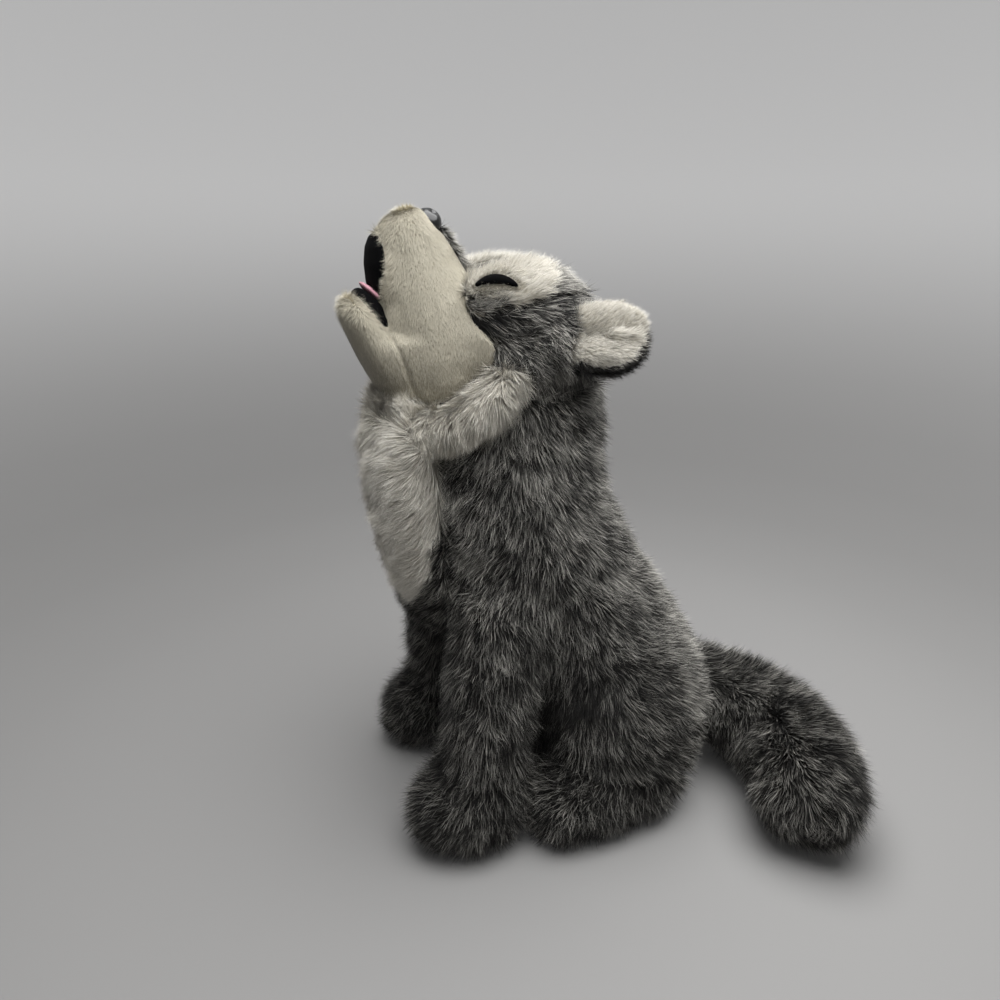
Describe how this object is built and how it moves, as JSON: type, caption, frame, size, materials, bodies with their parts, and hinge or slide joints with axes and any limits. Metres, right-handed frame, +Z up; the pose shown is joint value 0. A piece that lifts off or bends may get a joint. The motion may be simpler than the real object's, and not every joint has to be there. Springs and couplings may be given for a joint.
{
  "type": "plush wolf",
  "caption": "Seated plush wolf in grey and white fur, head thrown back in a howl with the mouth open, bushy tail curled to one side.",
  "frame": {"origin": "on the flat seat under the torso, between the hind feet, on the plane the wolf sits on", "axes": "+Z up, -Y the way the wolf faces, +X its left side, where the tail lies"},
  "size_m": [0.2546, 0.2833, 0.3502],
  "materials": {
    "grey_fur": "long-pile plush, dark grey at the root with silver-grey tips",
    "white_fur": "long and medium-pile plush, off-white",
    "cream_plush": "short velvety pile, cream white",
    "dark_plush": "short dark grey pile",
    "black_felt": "matte black felt",
    "pink_felt": "matte dusty-pink felt",
    "black_plastic": "glossy moulded plastic"
  },
  "bodies": {
    "root": {"torso": "grey_fur", "head": "grey_fur", "bridge_strip": "grey_fur", "foreleg_left": "grey_fur", "foreleg_right": "grey_fur", "forepaw_left": "grey_fur", "forepaw_right": "grey_fur", "haunch_left": "grey_fur", "haunch_right": "grey_fur", "hind_foot_left": "grey_fur", "hind_foot_right": "grey_fur", "tail": "grey_fur", "chest_bib": "white_fur", "cheek_ruff_left": "white_fur", "cheek_ruff_right": "white_fur", "brow_left": "white_fur", "brow_right": "white_fur", "ear_inner_left": "white_fur", "ear_inner_right": "white_fur", "muzzle": "cream_plush", "lower_jaw": "cream_plush", "ear_back_left": "dark_plush", "ear_back_right": "dark_plush", "palate_lining": "black_felt", "jaw_lining": "black_felt", "eye_left": "black_felt", "eye_right": "black_felt", "tongue": "pink_felt", "nose": "black_plastic"}
  },
  "joints": []
}
